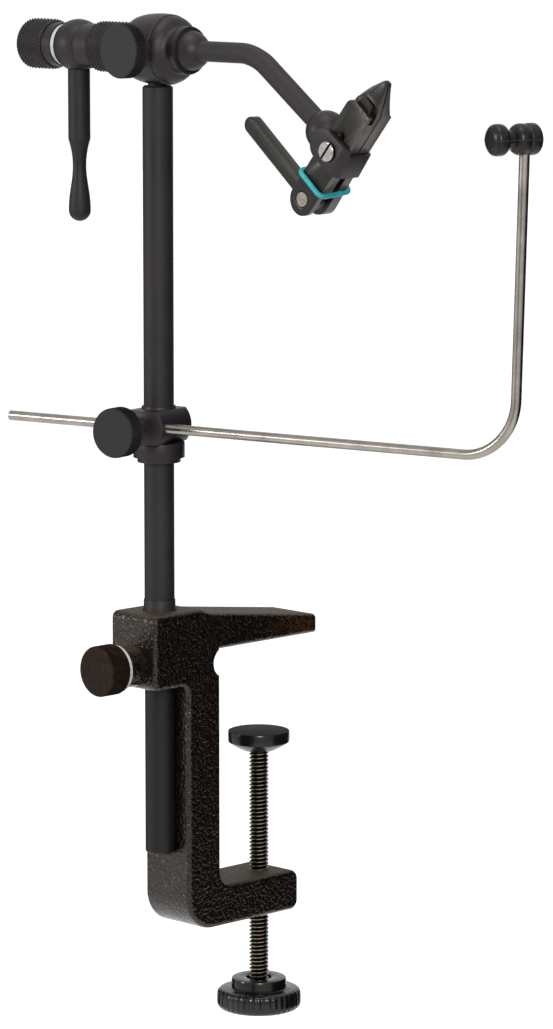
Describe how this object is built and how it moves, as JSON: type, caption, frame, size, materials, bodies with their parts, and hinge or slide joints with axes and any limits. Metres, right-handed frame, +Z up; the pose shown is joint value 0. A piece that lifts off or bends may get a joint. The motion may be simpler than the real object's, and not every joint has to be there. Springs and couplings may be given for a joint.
{
  "type": "fly tying vise",
  "caption": "Rotary fly tying vise on a C-clamp: upright stem, cranked turning head with bent arm and cam-lever jaws, and a swinging cradle with a bobbin rest.",
  "frame": {"origin": "where the clamp screw's axis meets the underside of the clamp's upper jaw, which lies on the table", "axes": "+Z up along the stem, +X the way the shaft points from the crank to the jaws, +Y the way the clamp's throat opens"},
  "size_m": [0.1968, 0.0879, 0.3242],
  "materials": {
    "casting": "rough black hammered enamel",
    "black_anodised": "satin black anodised",
    "black_steel": "satin black",
    "stainless": "drawn bright",
    "thread_steel": "plated thread",
    "jaw_steel": "dark oxide, ground",
    "bright_steel": "bright turned",
    "white_nylon": "plain",
    "gloss_black": "moulded, glossy",
    "teal_rubber": "smooth",
    "bearing_bronze": "plain bearing"
  },
  "bodies": {
    "clamp": {"clamp_frame": "casting"},
    "pad": {"clamp_pad": "gloss_black"},
    "clamp_screw": {"clamp_screw": "thread_steel", "clamp_screw_knob": "gloss_black"},
    "stem_lock_washer": {"stem_lock_washer": "white_nylon"},
    "stem_lock": {"stem_lock_screw": "thread_steel", "stem_lock_knob": "black_anodised"},
    "bushing": {"stem_bushing": "black_steel"},
    "stem": {"stem": "black_steel", "head_body": "black_anodised", "spigot_screw": "black_steel", "rear_bush": "bearing_bronze", "front_bush": "bearing_bronze"},
    "collar": {"stop_collar": "black_anodised", "collar_set_screw": "black_steel"},
    "cradle": {"cradle_block": "black_anodised"},
    "rod": {"cradle_rod": "stainless", "bobbin_rest": "gloss_black"},
    "cradle_lock_tip": {"cradle_lock_tip": "white_nylon"},
    "cradle_lock": {"cradle_lock_screw": "thread_steel", "cradle_lock_knob": "black_anodised"},
    "head_lock_plug": {"head_lock_plug": "white_nylon"},
    "head_lock": {"head_lock_screw": "thread_steel", "head_lock_knob": "black_anodised"},
    "rotor": {"main_shaft": "stainless", "front_collar": "black_anodised", "rotor_nose": "black_anodised", "drum": "black_anodised", "jaw_arm": "black_steel", "jaw_holder": "black_anodised", "jaw_fulcrum_screw": "bright_steel", "jaw_fixed": "jaw_steel", "cam_pin": "bright_steel", "jaw_o_ring": "teal_rubber"},
    "crank": {"crank_hub": "black_anodised", "crank_handle": "black_anodised"},
    "crank_washer": {"crank_washer": "white_nylon"},
    "end_knob": {"end_knob": "black_anodised"},
    "near_jaw": {"jaw_moving": "jaw_steel"},
    "cam_lever": {"cam_lever": "jaw_steel"},
    "adjusting_screw": {"adjusting_screw": "jaw_steel"}
  },
  "joints": [
    {"name": "pad_lift", "type": "slide", "parent": "clamp", "child": "pad", "axis": [0, 0, -1], "range_m": [-0.02159, 0.03556]},
    {"name": "clamp_screw_turn", "type": "hinge", "parent": "pad", "child": "clamp_screw", "pos_m": [0, 0, -0.08], "axis": [0, 0, -1], "range_deg": [-6125, 10085]},
    {"name": "stem_lock_move", "type": "slide", "parent": "clamp", "child": "stem_lock_washer", "axis": [0, -1, 0], "range_m": [0, 0.00386]},
    {"name": "stem_lock_turn", "type": "hinge", "parent": "stem_lock_washer", "child": "stem_lock", "pos_m": [0, -0.044, -0.0029], "axis": [0, -1, 0], "range_deg": [0, 1080]},
    {"name": "stem_swivel", "type": "hinge", "parent": "clamp", "child": "bushing", "pos_m": [0, -0.044, 0], "axis": [0, 0, 1], "continuous": true},
    {"name": "stem_height", "type": "slide", "parent": "bushing", "child": "stem", "axis": [0, 0, 1], "range_m": [0, 0.05]},
    {"name": "collar_height", "type": "slide", "parent": "stem", "child": "collar", "axis": [0, 0, 1], "range_m": [-0.04, 0.04]},
    {"name": "cradle_swing", "type": "hinge", "parent": "collar", "child": "cradle", "pos_m": [0, -0.044, 0.0723], "axis": [0, 0, 1], "continuous": true},
    {"name": "rod_reach", "type": "slide", "parent": "cradle", "child": "rod", "axis": [0.9799, 0.1994, 0], "range_m": [-0.02, 0.04]},
    {"name": "cradle_lock_move", "type": "slide", "parent": "cradle", "child": "cradle_lock_tip", "axis": [0.1994, -0.9799, 0], "range_m": [0, 0.00285]},
    {"name": "cradle_lock_turn", "type": "hinge", "parent": "cradle_lock_tip", "child": "cradle_lock", "pos_m": [0, -0.044, 0.0723], "axis": [0.1994, -0.9799, 0], "range_deg": [0, 1440]},
    {"name": "head_lock_move", "type": "slide", "parent": "stem", "child": "head_lock_plug", "axis": [0, -1, 0], "range_m": [0, 0.00245]},
    {"name": "head_lock_turn", "type": "hinge", "parent": "head_lock_plug", "child": "head_lock", "pos_m": [0.0022, -0.044, 0.1896], "axis": [0, -1, 0], "range_deg": [0, 1080]},
    {"name": "rotary", "type": "hinge", "parent": "stem", "child": "rotor", "pos_m": [0, -0.044, 0.1896], "axis": [1, 0, 0], "continuous": true},
    {"name": "crank_turn", "type": "hinge", "parent": "rotor", "child": "crank", "pos_m": [-0.036, -0.044, 0.1896], "axis": [1, 0, 0], "continuous": true},
    {"name": "end_washer_move", "type": "slide", "parent": "rotor", "child": "crank_washer", "axis": [-1, 0, 0], "range_m": [0, 0.00305]},
    {"name": "end_knob_turn", "type": "hinge", "parent": "crank_washer", "child": "end_knob", "pos_m": [-0.045, -0.044, 0.1896], "axis": [-1, 0, 0], "range_deg": [0, 1080]},
    {"name": "cam_lever_turn", "type": "hinge", "parent": "rotor", "child": "cam_lever", "pos_m": [0.06785, -0.044, 0.1471], "axis": [0, -1, 0], "range_deg": [0, 90]},
    {"name": "jaw_open", "type": "hinge", "parent": "rotor", "child": "near_jaw", "pos_m": [0.08051, -0.044, 0.16219], "axis": [0.766, 0, -0.6428], "range_deg": [0, 1.65]},
    {"name": "adjusting_turn", "type": "hinge", "parent": "near_jaw", "child": "adjusting_screw", "pos_m": [0.09189, -0.044, 0.17575], "axis": [0, -1, 0], "range_deg": [-180, 180]}
  ],
  "couplings": [
    {"joint": "clamp_screw_turn", "follows": "pad_lift", "rad_per_m": 4947.4},
    {"joint": "stem_lock_move", "follows": "stem_lock_turn", "m_per_rad": 0.00020213},
    {"joint": "cradle_lock_move", "follows": "cradle_lock_turn", "m_per_rad": 0.00011141},
    {"joint": "head_lock_move", "follows": "head_lock_turn", "m_per_rad": 0.00012732},
    {"joint": "end_washer_move", "follows": "end_knob_turn", "m_per_rad": 0.00015915},
    {"joint": "jaw_open", "follows": "cam_lever_turn", "ratio": 0.018333}
  ]
}
